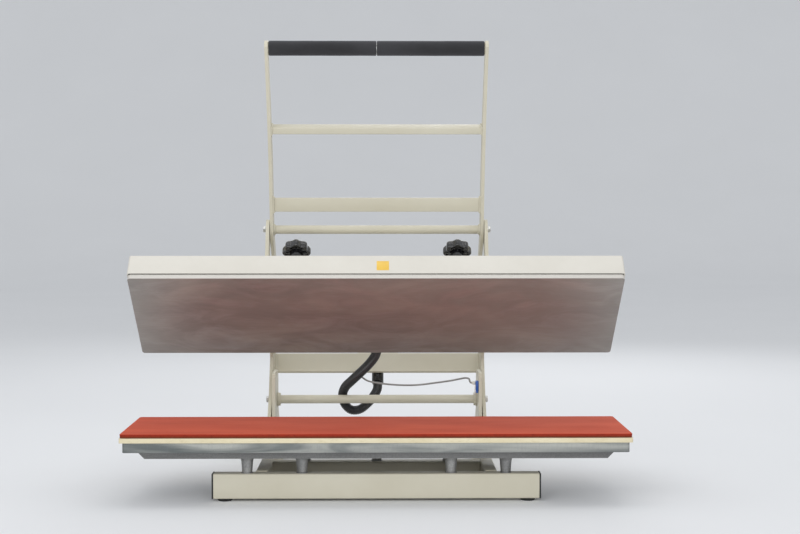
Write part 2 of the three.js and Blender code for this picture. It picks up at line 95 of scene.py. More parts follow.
# Each body's own frame at rest: level when the press is closed, or +Z along the lever.
PLACES = {
    "base": at_joint("platen_hinge"),
    "arm": at_joint("platen_hinge", -OPEN_ANGLE),
    "lever": at_joint("lever_pivot", LEVER_LEAN),
    "pressure_knob_left": at_joint("knob_left_turn", -OPEN_ANGLE),
    "pressure_knob_right": at_joint("knob_right_turn", -OPEN_ANGLE),
}
ALONG_X = Matrix.Rotation(math.pi / 2, 4, "Y")
ALONG_MINUS_X = Matrix.Rotation(-math.pi / 2, 4, "Y")
ALONG_Y = Matrix.Rotation(-math.pi / 2, 4, "X")


def moved(x, y, z, turn=Matrix.Identity(4)):
    return Matrix.Translation((x, y, z)) @ turn


def box_on(body, node):
    """Lowest and highest corner of a CAD node in a body's own frame, in millimetres."""
    inverse = PLACES[body].inverted()
    points = [inverse @ v.co / MM for v in NODES[node].data.vertices]
    return (Vector(min(p[i] for p in points) for i in range(3)),
            Vector(max(p[i] for p in points) for i in range(3)))


def ledge_height():
    """Where the bed casting's rib meets its plate: its second lowest level, in metres in the base's frame."""
    inverse = PLACES["base"].inverted()
    levels = sorted({round((inverse @ v.co).z, 4) for v in NODES["bed_casting"].data.vertices})
    return levels[1]


# ---------- camera and light ----------
# The camera's place in metres, its direction, and its lens and sensor width in millimetres.
CAMERA = {"place": (0.011, -3.1245, 0.567), "direction": (0.0124, 1, -0.0359), "lens": 65.3, "sensor": 36}


def make_camera():
    camera = bpy.data.objects.new("camera", bpy.data.cameras.new("camera"))
    bpy.context.scene.collection.objects.link(camera)
    camera.location = CAMERA["place"]
    camera.rotation_mode = "QUATERNION"
    camera.rotation_quaternion = Vector(CAMERA["direction"]).to_track_quat("-Z", "Y")
    camera.data.lens = CAMERA["lens"]
    camera.data.sensor_width = CAMERA["sensor"]
    bpy.context.scene.camera = camera


# Each light's place, the point it faces, its size in metres and its power in watts.
LIGHTS = {
    "key": ((-1.5, -3.0, 2.2), (0, -0.1, 0.35), (2.0, 1.6), 22),
    "flash": ((0.4, -3.3, 1.15), (0, -0.1, 0.35), (1.2, 0.8), 19),
    "top": ((0.0, 0.2, 2.8), (0, 0, 0.3), (2.4, 1.6), 12),
    "back": ((0.6, 2.6, 1.8), (0, 0.1, 0.4), (2.0, 1.2), 14),
}
SKY = {"colour": (0.96, 0.98, 1.0, 1), "strength": 0.76}
# The floor runs from front to bend and curves up into a wall, all in metres but for the steps.
BACKDROP = {"half": 40.0, "front": -40.0, "bend": 9.0, "radius": 6.0, "top": 30.0, "steps": 32}


def make_light(name, place, aim, size, power):
    light = bpy.data.objects.new(name, bpy.data.lights.new(name, "AREA"))
    bpy.context.scene.collection.objects.link(light)
    light.location = place
    light.rotation_mode = "QUATERNION"
    light.rotation_quaternion = (Vector(aim) - Vector(place)).to_track_quat("-Z", "Y")
    light.data.shape = "RECTANGLE"
    light.data.size, light.data.size_y = size
    light.data.energy = power


def make_studio():
    world = bpy.data.worlds.new("studio")
    bpy.context.scene.world = world
    world.use_nodes = True
    sky = world.node_tree.nodes["Background"]
    sky.inputs["Color"].default_value = SKY["colour"]
    sky.inputs["Strength"].default_value = SKY["strength"]
    bpy.context.scene.view_settings.view_transform = "Standard"
    for name, settings in LIGHTS.items():
        make_light(name, *settings)


def make_floor():
    """A pale floor that curves up into a back wall."""
    bend, radius, half = BACKDROP["bend"], BACKDROP["radius"], BACKDROP["half"]
    line = [(BACKDROP["front"], 0.0), (bend, 0.0)]
    for i in range(1, BACKDROP["steps"] + 1):
        angle = math.pi / 2 * i / BACKDROP["steps"]
        line.append((bend + radius * math.sin(angle), radius * (1 - math.cos(angle))))
    line.append((bend + radius, BACKDROP["top"]))
    mesh = bmesh.new()
    rows = [[mesh.verts.new((x, y, z)) for x in (-half, half)] for y, z in line]
    for a, b in zip(rows, rows[1:]):
        mesh.faces.new((a[0], a[1], b[1], b[0]))
    data = bpy.data.meshes.new("floor")
    mesh.to_mesh(data)
    mesh.free()
    floor = bpy.data.objects.new("floor", data)
    bpy.context.scene.collection.objects.link(floor)
    data.polygons.foreach_set("use_smooth", [True] * len(data.polygons))
    data.materials.append(floor_material())


# ---------- materials ----------
def srgb(r, g, b):
    """A colour given as 0 to 255 in each sRGB channel, as linear RGBA."""
    channels = [c / 255 for c in (r, g, b)]
    return tuple(c / 12.92 if c <= 0.04045 else ((c + 0.055) / 1.055) ** 2.4 for c in channels) + (1,)


class Surface:
    """A Principled material with procedural detail in the object's own metres."""

    # Where a Mix node keeps its two colour inputs and its colour output.
    MIX_INPUTS = (6, 7)
    MIX_OUTPUT = 2

    def __init__(self, name, body=None, **values):
        self.material = bpy.data.materials.new(name)
        self.material.use_nodes = True
        self.tree = self.material.node_tree
        self.shader = self.tree.nodes["Principled BSDF"]
        self.coordinates = self.add("ShaderNodeTexCoord")
        self.place = self.coordinates.outputs["Object"]
        self.facing = self.coordinates.outputs["Normal"]
        if body:
            inverse = PLACES[body].inverted()
            self.place = self.mapped(self.place, "POINT", inverse.translation, inverse.to_euler())
            self.facing = self.mapped(self.facing, "VECTOR", (0, 0, 0), inverse.to_euler())
        for socket, value in values.items():
            self.shader.inputs[socket.replace("_", " ")].default_value = value

    def add(self, kind, inputs=None, **settings):
        node = self.tree.nodes.new(kind)
        for name, value in settings.items():
            setattr(node, name, value)
        for socket, value in (inputs or {}).items():
            if isinstance(value, bpy.types.NodeSocket):
                self.tree.links.new(value, node.inputs[socket])
            else:
                node.inputs[socket].default_value = value
        return node

    def mapped(self, vector, kind, location, rotation):
        inputs = {"Vector": vector, "Rotation": tuple(rotation)}
        node = self.add("ShaderNodeMapping", inputs, vector_type=kind)
        if kind == "POINT":
            node.inputs["Location"].default_value = tuple(location)
        return node.outputs["Vector"]

    def stretched(self, scale):
        return self.add("ShaderNodeMapping", {"Vector": self.place, "Scale": scale}).outputs["Vector"]

    def noise(self, scale, detail=3.0, roughness=0.5, distortion=0.0, stretch=None):
        return self.add("ShaderNodeTexNoise", {
            "Vector": self.stretched(stretch) if stretch else self.place, "Scale": scale, "Detail": detail,
            "Roughness": roughness, "Distortion": distortion}).outputs["Fac"]

    def cells(self, scale):
        return self.add("ShaderNodeTexVoronoi", {"Vector": self.place, "Scale": scale}).outputs["Distance"]

    def span(self, value, low, high, to_low=0.0, to_high=1.0):
        return self.add("ShaderNodeMapRange", {
            "Value": value, "From Min": low, "From Max": high, "To Min": to_low,
            "To Max": to_high}).outputs["Result"]

    def mixed(self, share, a, b):
        node = self.add("ShaderNodeMix", {"Factor": share}, data_type="RGBA")
        for index, colour in zip(self.MIX_INPUTS, (a, b)):
            if isinstance(colour, bpy.types.NodeSocket):
                self.tree.links.new(colour, node.inputs[index])
            else:
                node.inputs[index].default_value = colour
        return node.outputs[self.MIX_OUTPUT]

    def maths(self, operation, a, b=0.0):
        return self.add("ShaderNodeMath", {0: a, 1: b}, operation=operation).outputs[0]

    def facing_part(self, axis):
        split = self.add("ShaderNodeSeparateXYZ", {"Vector": self.facing})
        return split.outputs[axis]

    def part(self, axis):
        split = self.add("ShaderNodeSeparateXYZ", {"Vector": self.place})
        return split.outputs[axis]

    def colour(self, socket):
        self.tree.links.new(socket, self.shader.inputs["Base Color"])

    def roughness(self, socket):
        self.tree.links.new(socket, self.shader.inputs["Roughness"])

    def bump(self, *layers):
        """Stacks (height, strength, distance in metres) bumps onto the shader's normal."""
        normal = None
        for height, strength, distance in layers:
            inputs = {"Height": height, "Strength": strength, "Distance": distance}
            if normal:
                inputs["Normal"] = normal
            normal = self.add("ShaderNodeBump", inputs).outputs["Normal"]
        self.tree.links.new(normal, self.shader.inputs["Normal"])


def floor_material():
    s = Surface("floor", Roughness=0.9)
    s.shader.inputs["Specular IOR Level"].default_value = 0.2
    s.colour(s.mixed(s.noise(1.2, 2), srgb(228, 229, 231), srgb(232, 233, 235)))
    return s.material


def powder_coat(name, colour, shade, roughness):
    """Powder coat: fine orange peel, slight cloudiness and a little grime."""
    s = Surface(name)
    s.shader.inputs["Specular IOR Level"].default_value = 0.45
    clouds = s.noise(6, 4, 0.6)
    speckle = s.noise(900, 2, 0.5)
    tint = s.mixed(s.span(clouds, 0.3, 0.75), colour, shade)
    s.colour(s.mixed(s.span(speckle, 0.58, 0.75, 0, 0.35), tint, shade))
    s.roughness(s.span(s.noise(35, 3), 0.3, 0.7, roughness - 0.05, roughness + 0.09))
    s.bump((s.noise(650, 2, 0.4), 0.12, 0.0004), (s.noise(60, 2), 0.06, 0.001))
    return s.material


def platen_aluminium():
    """Dull aluminium, painted dark and warm for a dark reflection, with broad rubbed streaks, greyer ends and
    bright milled edges.
    """
    s = Surface("platen_aluminium", "arm", Metallic=0.75)
    sweep = s.noise(2.4, 3, 0.55, 1.4, stretch=(1.0, 2.6, 1.0))
    arcs = s.noise(6, 4, 0.6, 2.2, stretch=(1.0, 2.2, 1.0))
    grain = s.noise(420, 3, 0.6, stretch=(0.06, 1.0, 1.0))
    ends = s.span(s.maths("ABSOLUTE", s.part("X")), 0.34, 0.50)
    # Painted reflection: both base tones are darker and warmer than bare aluminium, for the dark surroundings the
    # face reflects.
    rubbed_painted_dark = s.mixed(s.span(sweep, 0.36, 0.66), srgb(146, 140, 134), srgb(168, 162, 153))
    face = s.mixed(s.maths("MULTIPLY", ends, 0.6), rubbed_painted_dark, srgb(168, 168, 164))
    face = s.mixed(s.span(arcs, 0.45, 0.72, 0, 0.35), face, srgb(186, 180, 176))
    face = s.mixed(s.span(grain, 0.35, 0.75, 0, 0.2), face, srgb(112, 100, 96))
    milled = s.span(s.maths("ABSOLUTE", s.facing_part("Z")), 0.35, 0.75, 1, 0)
    s.colour(s.mixed(milled, face, srgb(214, 210, 204)))
    s.roughness(s.span(s.maths("ADD", arcs, s.maths("MULTIPLY", grain, 0.3)), 0.4, 0.9, 0.66, 0.5))
    s.bump((arcs, 0.05, 0.004), (grain, 0.06, 0.0003))
    return s.material


def cast_aluminium():
    """Sand-cast aluminium: streaky milled edges above a dull grey rib and underside, with small pits."""
    s = Surface("cast_aluminium", "base", Metallic=0.85)
    streak = s.noise(26, 3, 0.5, 1.6, stretch=(0.16, 1.0, 1.2))
    cuts = s.noise(260, 2, 0.5, stretch=(1.0, 0.2, 0.2))
    sand = s.noise(420, 4, 0.65)
    pits = s.cells(210)
    edge = s.span(s.maths("ABSOLUTE", s.facing_part("Z")), 0.25, 0.6, 1, 0)
    rib_top = ledge_height()
    above_rib = s.span(s.part("Z"), rib_top - 0.001, rib_top)
    milled = s.maths("MULTIPLY", edge, above_rib)
    dull = s.mixed(s.span(sand, 0.3, 0.7), srgb(124, 124, 123), srgb(140, 140, 139))
    bright = s.mixed(s.span(streak, 0.34, 0.66), srgb(112, 117, 116), srgb(184, 185, 180))
    bright = s.mixed(s.span(cuts, 0.45, 0.8, 0, 0.2), bright, srgb(132, 137, 142))
    tone = s.mixed(milled, dull, bright)
    s.colour(s.mixed(s.span(pits, 0.0, 0.12, 0.7, 0), tone, srgb(70, 72, 75)))
    s.roughness(s.span(streak, 0.3, 0.7, 0.48, 0.66))
    s.bump((sand, 0.25, 0.0005), (streak, 0.2, 0.0012), (s.span(pits, 0.0, 0.2), 0.2, 0.0005))
    return s.material


def cast_leg():
    s = Surface("cast_leg", Metallic=0.7)
    sand = s.noise(380, 4, 0.65)
    stain = s.noise(40, 3, 0.6, stretch=(1, 1, 0.4))
    tone = s.mixed(s.span(stain, 0.3, 0.7), srgb(126, 126, 126), srgb(178, 178, 176))
    s.colour(s.mixed(s.span(sand, 0.4, 0.75, 0, 0.4), tone, srgb(98, 98, 100)))
    s.roughness(s.span(sand, 0.3, 0.7, 0.45, 0.65))
    s.bump((sand, 0.4, 0.0006), (stain, 0.2, 0.001))
    return s.material


def silicone():
    """Silicone sponge: dusty orange-red on top, with a darker porous cut edge, brown along its foot."""
    s = Surface("silicone", "base")
    s.shader.inputs["Specular IOR Level"].default_value = 0.2
    clouds = s.noise(5, 4, 0.55, stretch=(1.0, 3.0, 1.0))
    dust = s.noise(1300, 2)
    pores = s.cells(520)
    top = s.mixed(s.span(clouds, 0.35, 0.7), srgb(212, 94, 66), srgb(197, 80, 56))
    top = s.mixed(s.span(dust, 0.5, 0.72, 0, 0.4), top, srgb(214, 124, 98))
    up = s.span(s.facing_part("Z"), 0.45, 0.85)
    pad_low = box_on("base", "silicone_pad")[0]
    low = s.span(s.part("Z"), (pad_low.z + 2.5) * MM, (pad_low.z + 4.5) * MM)
    edge = s.mixed(low, srgb(118, 54, 34), srgb(152, 46, 28))
    edge = s.mixed(s.span(s.noise(170, 3, 0.7), 0.5, 0.7, 0, 0.5), edge, srgb(96, 32, 22))
    s.colour(s.mixed(up, edge, top))
    s.roughness(s.span(dust, 0.3, 0.7, 0.7, 0.85))
    pore_depth = s.span(s.facing_part("Z"), 0.5, 0.9, 0.5, 0.06)
    s.bump((dust, 0.1, 0.0002), (s.span(pores, 0.0, 0.3), pore_depth, 0.0005))
    return s.material


def pressed_board():
    s = Surface("pressed_board")
    fibre = s.noise(240, 4, 0.7, stretch=(0.25, 1, 1))
    stain = s.noise(9, 3, 0.6)
    tone = s.mixed(s.span(stain, 0.35, 0.75), srgb(232, 222, 192), srgb(214, 200, 164))
    s.colour(s.mixed(s.span(fibre, 0.5, 0.8, 0, 0.5), tone, srgb(188, 172, 132)))
    s.roughness(s.span(fibre, 0.3, 0.7, 0.6, 0.8))
    s.bump((fibre, 0.2, 0.0004))
    return s.material


def moulded(name, dark, light, roughness, coat=0.0, grain=700):
    """Moulded plastic or rubber with a fine grain."""
    s = Surface(name, Coat_Weight=coat, Coat_Roughness=0.08)
    fine = s.noise(grain, 3, 0.6)
    s.colour(s.mixed(s.span(s.noise(30, 3), 0.3, 0.7), dark, light))
    s.roughness(s.span(fine, 0.3, 0.7, roughness - 0.04, roughness + 0.08))
    s.bump((fine, 0.08, 0.0003))
    return s.material


def closed_cell_foam():
    s = Surface("closed_cell_foam", Sheen_Weight=0.25, Sheen_Roughness=0.6)
    s.shader.inputs["Specular IOR Level"].default_value = 0.25
    s.shader.inputs["Sheen Tint"].default_value = srgb(190, 190, 200)
    cells = s.cells(900)
    rubbed = s.noise(14, 4, 0.6, stretch=(0.5, 1, 1))
    tone = s.mixed(s.span(rubbed, 0.35, 0.7), srgb(42, 42, 43), srgb(58, 58, 60))
    s.colour(s.mixed(s.span(cells, 0.0, 0.35, 0.5, 0), tone, srgb(30, 30, 32)))
    s.roughness(s.span(rubbed, 0.3, 0.7, 0.78, 0.95))
    s.bump((s.span(cells, 0.0, 0.5), 0.35, 0.0005), (s.noise(120, 3), 0.15, 0.0012))
    return s.material


def zinc_plate():
    s = Surface("zinc_plate", Metallic=1.0)
    spangle = s.noise(160, 3, 0.6)
    brush = s.noise(700, 2, stretch=(0.15, 1, 1))
    tone = s.mixed(s.span(spangle, 0.35, 0.7), srgb(196, 198, 202), srgb(222, 220, 210))
    s.colour(s.mixed(s.span(brush, 0.45, 0.8, 0, 0.25), tone, srgb(150, 150, 148)))
    s.roughness(s.span(spangle, 0.3, 0.7, 0.26, 0.42))
    s.bump((brush, 0.06, 0.0002))
    return s.material


def label_film():
    s = Surface("label", Coat_Weight=0.3, Coat_Roughness=0.2)
    s.colour(s.mixed(s.span(s.noise(60, 3), 0.3, 0.7), srgb(236, 196, 84), srgb(228, 184, 66)))
    s.roughness(s.span(s.noise(200, 2), 0.3, 0.7, 0.35, 0.5))
    return s.material


def make_materials():
    """One material for each slot, and two more: cast_leg and label."""
    return {
        "frame_paint": powder_coat("cream_powder_coat", srgb(210, 205, 187), srgb(201, 195, 175), 0.42),
        "cover_paint": powder_coat("white_powder_coat", srgb(218, 214, 205), srgb(210, 206, 196), 0.4),
        "platen_aluminium": platen_aluminium(),
        "cast_aluminium": cast_aluminium(),
        "cast_leg": cast_leg(),
        "silicone": silicone(),
        "board": pressed_board(),
        "black_plastic": moulded("black_phenolic", srgb(16, 16, 17), srgb(26, 26, 28), 0.14, 0.8),
        "cap_plastic": moulded("cap_plastic", srgb(30, 30, 31), srgb(44, 44, 45), 0.5),
        "foam": closed_cell_foam(),
        "foot_rubber": moulded("foot_rubber", srgb(24, 24, 24), srgb(38, 38, 38), 0.75, grain=400),
        "zinc_steel": zinc_plate(),
        "hose_plastic": moulded("hose_plastic", srgb(34, 35, 37), srgb(50, 51, 54), 0.34, 0.2),
        "wire_plastic": moulded("wire_plastic", srgb(140, 138, 136), srgb(160, 158, 156), 0.4),
        "switch_plastic": moulded("switch_plastic", srgb(38, 88, 176), srgb(52, 104, 190), 0.4),
        "white_plastic": moulded("white_plastic", srgb(224, 222, 212), srgb(234, 232, 224), 0.4),
        "label": label_film(),
    }


# ---------- mesh helpers ----------
def loft(mesh, rows, closed=False):
    """Joins equal rings of points, and caps the ends, or when closed joins the last to the first."""
    rings = [[mesh.verts.new(point) for point in row] for row in rows]
    pairs = list(zip(rings, rings[1:]))
    if closed:
        pairs.append((rings[-1], rings[0]))
    for a, b in pairs:
        for i in range(len(a)):
            j = (i + 1) % len(a)
            mesh.faces.new((a[i], a[j], b[j], b[i]))
    if not closed:
        mesh.faces.new(rings[0])
        mesh.faces.new(rings[-1])


def turned(mesh, place, profile, sides=40, shape=None, closed=False):
    """Turns (height, radius) pairs about a place's Z axis. shape(angle, height, radius) may alter them."""
    rows = []
    for height, radius in profile:
        row = []
        for i in range(sides):
            angle = math.tau * i / sides
            r = shape(angle, height, radius) if shape else radius
            row.append(place @ Vector((r * math.cos(angle), r * math.sin(angle), height)))
        rows.append(row)
    loft(mesh, rows, closed)


def hexagon(flats):
    """A radius rule for turned() that keeps within a hexagon, with flats that far from its axis."""
    def shape(angle, height, radius):
        return min(radius, flats / math.cos((angle % (math.pi / 3)) - math.pi / 6))
    return shape


def slab(mesh, low, high, radius=0.8, place=Matrix.Identity(4)):
    """A block with rounded edges."""
    part = bmesh.new()
    bmesh.ops.create_cube(part, size=1)
    middle, size = (Vector(low) + Vector(high)) / 2, Vector(high) - Vector(low)
    bmesh.ops.scale(part, vec=size, verts=part.verts)
    bmesh.ops.bevel(part, geom=part.edges[:], offset=radius, segments=3, profile=0.5, affect="EDGES")
    bmesh.ops.transform(part, matrix=place @ Matrix.Translation(middle), verts=part.verts)
    data = bpy.data.meshes.new("part")
    part.to_mesh(data)
    part.free()
    mesh.from_mesh(data)
    bpy.data.meshes.remove(data)


def socket_screw(mesh, place, radius=3.6):
    """A button-head screw with a hexagon socket, standing on a place's XY plane."""
    socket, dome, floor = radius * 0.42, radius * 0.52, radius * 0.12

    def shape(angle, height, r):
        return hexagon(socket)(angle, height, r) if r < radius * 0.55 else r
    turned(mesh, place, [
        (-0.6, radius * 0.9), (0, radius), (radius * 0.2, radius), (radius * 0.42, radius * 0.86),
        (dome, radius * 0.64), (dome, socket * 1.25), (floor, socket * 1.2)], 24, shape)


def along(points, step):
    """Evenly spaced (point, tangent) pairs along a smooth curve through points, and its length."""
    fine, per_span = [], 40
    count = len(points)
    for i in range(count - 1):
        p1, p2 = Vector(points[i]), Vector(points[i + 1])
        p0 = Vector(points[i - 1]) if i else p1 * 2 - p2
        p3 = Vector(points[i + 2]) if i + 2 < count else p2 * 2 - p1
        times = [0.0]
        for a, b in ((p0, p1), (p1, p2), (p2, p3)):
            times.append(times[-1] + max((b - a).length, 1e-6) ** 0.5)
        t0, t1, t2, t3 = times
        for k in range(per_span):
            t = t1 + (t2 - t1) * k / per_span
            a1 = p0 * ((t1 - t) / (t1 - t0)) + p1 * ((t - t0) / (t1 - t0))
            a2 = p1 * ((t2 - t) / (t2 - t1)) + p2 * ((t - t1) / (t2 - t1))
            a3 = p2 * ((t3 - t) / (t3 - t2)) + p3 * ((t - t2) / (t3 - t2))
            b1 = a1 * ((t2 - t) / (t2 - t0)) + a2 * ((t - t0) / (t2 - t0))
            b2 = a2 * ((t3 - t) / (t3 - t1)) + a3 * ((t - t1) / (t3 - t1))
            fine.append(b1 * ((t2 - t) / (t2 - t1)) + b2 * ((t - t1) / (t2 - t1)))
    fine.append(Vector(points[-1]))
    lengths = [0.0]
    for a, b in zip(fine, fine[1:]):
        lengths.append(lengths[-1] + (b - a).length)
    total = lengths[-1]
    steps = max(2, round(total / step))
    spots, k = [], 0
    for i in range(steps + 1):
        want = total * i / steps
        while k < len(fine) - 2 and lengths[k + 1] < want:
            k += 1
        share = (want - lengths[k]) / max(lengths[k + 1] - lengths[k], 1e-9)
        spots.append(fine[k].lerp(fine[k + 1], min(share, 1.0)))
    tangents = [(spots[min(i + 1, steps)] - spots[max(i - 1, 0)]).normalized() for i in range(steps + 1)]
    return list(zip(spots, tangents)), total


def sweep(mesh, line, sides, radius_at, closed=False):
    """A tube along (point, tangent) pairs. radius_at(distance along it) gives its radius."""
    normal = line[0][1].orthogonal().normalized()
    rows, distance, last = [], 0.0, line[0][0]
    for point, tangent in line:
        normal = (normal - tangent * normal.dot(tangent)).normalized()
        across = tangent.cross(normal)
        distance += (point - last).length
        last = point
        radius = radius_at(distance)
        turns = [math.tau * i / sides for i in range(sides)]
        rows.append([point + (normal * math.cos(turn) + across * math.sin(turn)) * radius for turn in turns])
    loft(mesh, rows, closed)


def bead(mesh, points, radius=WELD["radius"], closed=True):
    """A painted weld: a small rippled tube along straight runs between points."""
    corners = [Vector(p) for p in points]
    if closed:
        corners.append(corners[0])
    spots = []
    for a, b in zip(corners, corners[1:]):
        count = max(1, round((b - a).length / WELD["step"]))
        spots += [a.lerp(b, k / count) for k in range(count)]
    if not closed:
        spots.append(corners[-1])
    size = len(spots)
    line = []
    for i, spot in enumerate(spots):
        after = spots[(i + 1) % size] if closed else spots[min(i + 1, size - 1)]
        before = spots[i - 1] if closed or i else spot
        line.append((spot, (after - before).normalized()))

    def ripple(distance):
        lump = noise.noise(Vector((distance * 0.25, spots[0].x * 0.1, spots[0].z * 0.1)))
        return radius * (0.9 + 0.08 * math.cos(distance * math.tau / WELD["ripple"]) + 0.12 * lump)
    sweep(mesh, line, WELD["sides"], ripple, closed)


def seam(mesh, start, end):
    """A weld along one straight line."""
    bead(mesh, (start, end), closed=False)


def circle(x, y, z, radius, count=28):
    """Points round a circle in the plane of one x."""
    return [(x, y + radius * math.cos(math.tau * i / count), z + radius * math.sin(math.tau * i / count))
            for i in range(count)]


def rectangle(x, y0, y1, z0, z1):
    """The corners of a rectangle in the plane of one x."""
    return [(x, y0, z0), (x, y1, z0), (x, y1, z1), (x, y0, z1)]


# ---------- pieces ----------
SMOOTH_BELOW = math.radians(32)


def make_piece(name, mesh, body, slot=None, material=None, sharp=35, ride=True):
    """Makes a piece of a mesh in millimetres in a body's own frame. It rides on that body if ride is true."""
    bmesh.ops.recalc_face_normals(mesh, faces=mesh.faces)
    bmesh.ops.scale(mesh, vec=(MM, MM, MM), verts=mesh.verts)
    bmesh.ops.transform(mesh, matrix=PLACES[body], verts=mesh.verts)
    data = bpy.data.meshes.new(name)
    mesh.to_mesh(data)
    mesh.free()
    data.polygons.foreach_set("use_smooth", [True] * len(data.polygons))
    data.set_sharp_from_angle(angle=math.radians(sharp))
    piece = bpy.data.objects.new(name, data)
    bpy.context.scene.collection.objects.link(piece)
    data.materials.append(material or MATERIALS[slot])
    if ride:
        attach(piece, body)
    return piece


def smooth_by_angle():
    """A modifier's node group that shades smooth across shallow edges and sharp across steep ones."""
    group = bpy.data.node_groups.new("smooth_by_angle", "GeometryNodeTree")
    for way in ("INPUT", "OUTPUT"):
        group.interface.new_socket("Geometry", in_out=way, socket_type="NodeSocketGeometry")
    nodes, links = group.nodes, group.links
    start, end = nodes.new("NodeGroupInput"), nodes.new("NodeGroupOutput")
    strip = nodes.new("GeometryNodeRemoveAttribute")
    strip.inputs["Name"].default_value = "custom_normal"
    angle = nodes.new("GeometryNodeInputMeshEdgeAngle")
    shallow = nodes.new("FunctionNodeCompare")
    shallow.operation = "LESS_THAN"
    shallow.inputs[1].default_value = SMOOTH_BELOW
    links.new(angle.outputs["Unsigned Angle"], shallow.inputs[0])
    faces = nodes.new("GeometryNodeSetShadeSmooth")
    faces.domain = "FACE"
    edges = nodes.new("GeometryNodeSetShadeSmooth")
    edges.domain = "EDGE"
    links.new(shallow.outputs["Result"], edges.inputs["Shade Smooth"])
    links.new(start.outputs[0], strip.inputs["Geometry"])
    links.new(strip.outputs["Geometry"], faces.inputs["Geometry"])
    links.new(faces.outputs["Geometry"], edges.inputs["Geometry"])
    links.new(edges.outputs["Geometry"], end.inputs[0])
    return group


# How far the edges of a slot's CAD nodes are rounded, in millimetres.
EDGE_RADIUS = {
    "frame_paint": 0.7, "cover_paint": 1.3, "platen_aluminium": 0.5, "cast_aluminium": 1.2, "board": 0.6,
    "cap_plastic": 0.8, "foot_rubber": 1.5, "zinc_steel": 0.5, "white_plastic": 2.0, "black_plastic": 0.8,
}
ROUNDED_ABOVE = math.radians(40)


def dress_nodes():
    """Gives every CAD node its slot's material, rounded edges and smooth shading."""
    group = smooth_by_angle()
    for node, slot in SLOT_OF.items():
        shown = NODES[node]
        shown.data.materials.clear()
        shown.data.materials.append(MATERIALS["cast_leg" if "_leg_" in node else slot])
        weld = shown.modifiers.new("weld", "WELD")
        weld.merge_threshold = 1e-5
        if slot in EDGE_RADIUS:
            rounded = shown.modifiers.new("rounded", "BEVEL")
            rounded.width = EDGE_RADIUS[slot] * MM
            rounded.segments = 3
            rounded.limit_method = "ANGLE"
            rounded.angle_limit = ROUNDED_ABOVE
            rounded.miter_outer = "MITER_ARC"
        smooth = shown.modifiers.new("smooth", "NODES")
        smooth.node_group = group


# ---------- hose and wire ----------
def make_hose():
    """The heater's corrugated conduit. Both of its ends are on the arm, so all of it rides there."""
    route, length = along(HOSE_ROUTE, HOSE["pitch"] / 6)

    def corrugated(distance):
        wave = 0.5 - 0.5 * math.cos(distance / HOSE["pitch"] * math.tau)
        return HOSE["radius"] - HOSE["groove"] * (1 - wave) ** 1.5
    place = PLACES["base"]
    to_arm = PLACES["arm"].inverted() @ place
    line = [(to_arm @ (p * MM) / MM, (to_arm.to_3x3() @ t).normalized()) for p, t in route]
    mesh = bmesh.new()
    sweep(mesh, line, HOSE["sides"], corrugated)
    hose = make_piece("heater_conduit", mesh, "arm", "hose_plastic", sharp=60)
    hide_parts("heater_hose")


def make_wire():
    """The switch's wire leaves the conduit on the arm and ends on the base. It is one fixed mesh in its rest shape
    and rides on neither.
    """
    route, length = along(WIRE_ROUTE, 1.5)
    mesh = bmesh.new()
    sweep(mesh, route, WIRE["sides"], lambda distance: WIRE["radius"])
    wire = make_piece("switch_lead", mesh, "base", "wire_plastic", ride=False)
    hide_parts("switch_wire")
    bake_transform(wire)


def make_gland():
    """The ribbed cable gland under the terminal box, with a hexagon collar at its top."""
    low, high = box_on("arm", "hose_gland")
    place = moved((low.x + high.x) / 2, (low.y + high.y) / 2, 0)
    collar_foot = high.z - GLAND["collar_height"]
    pitch, groove, rib, collar = GLAND["rib_pitch"], GLAND["groove"], GLAND["rib"], GLAND["collar"]
    ribs = [(low.z, GLAND["bore"])]
    for i in range(int((collar_foot - 0.5 - low.z) / pitch)):
        z = low.z + 0.6 + i * pitch
        ribs += [(z, rib - 0.5), (z + 2.0, rib), (z + 2.4, groove), (z + 3.2, groove)]

    def slotted(angle, height, radius):
        notch = abs(math.sin(angle * 4)) > 0.96
        return radius - 1.0 if notch and radius > 12.5 else radius
    mesh = bmesh.new()
    turned(mesh, place, ribs, 96, slotted)
    turned(mesh, place, [
        (collar_foot, 12), (collar_foot + 0.5, 13.6), (collar_foot + 1.5, collar), (high.z - 1, collar),
        (high.z, 13.8)], 48, hexagon(13.2))
    gland = make_piece("conduit_gland", mesh, "arm", "black_plastic", sharp=30)
    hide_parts("hose_gland")


def make_outlet():
    """The fluted ring through which the conduit leaves the back of the cover."""
    low, high = box_on("arm", "hose_outlet")

    def fluted(angle, height, radius):
        return radius - 0.7 * (0.5 - 0.5 * math.cos(angle * 18)) if radius > 12.5 else radius
    mesh = bmesh.new()
    turned(mesh, moved((low.x + high.x) / 2, low.y, (low.z + high.z) / 2, ALONG_Y),
           [(0, 12), (0.4, 12.8), (1.4, 13.6), (6.4, 13.6), (7.6, 12.8), (8.9, 11.6)], 108, fluted)
    outlet = make_piece("conduit_outlet", mesh, "arm", "black_plastic", sharp=30)
    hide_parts("hose_outlet")


# ---------- bed ----------
def pad_grid(size):
    """Rows of (x, y) places that fill a rounded rectangle, closer together near its rim."""
    across, deep, edge, corner = PAD["cells_across"], PAD["cells_deep"], PAD["edge"], PAD["corner"]

    def spacing(i, count):
        t = -1 + 2 * i / count
        return math.copysign(1 - (1 - abs(t)) ** 1.5, t)

    def spot(u, v):
        x, y = u * (size.x / 2 - edge), v * (size.y / 2 - edge)
        inner_x, inner_y = size.x / 2 - edge - corner, size.y / 2 - edge - corner
        over_x, over_y = max(0.0, abs(x) - inner_x), max(0.0, abs(y) - inner_y)
        reach = math.hypot(over_x, over_y)
        if over_x and over_y and reach > corner:
            x = math.copysign(inner_x + over_x * corner / reach, x)
            y = math.copysign(inner_y + over_y * corner / reach, y)
        return x, y
    return [[spot(spacing(i, across), spacing(j, deep)) for j in range(deep + 1)] for i in range(across + 1)]


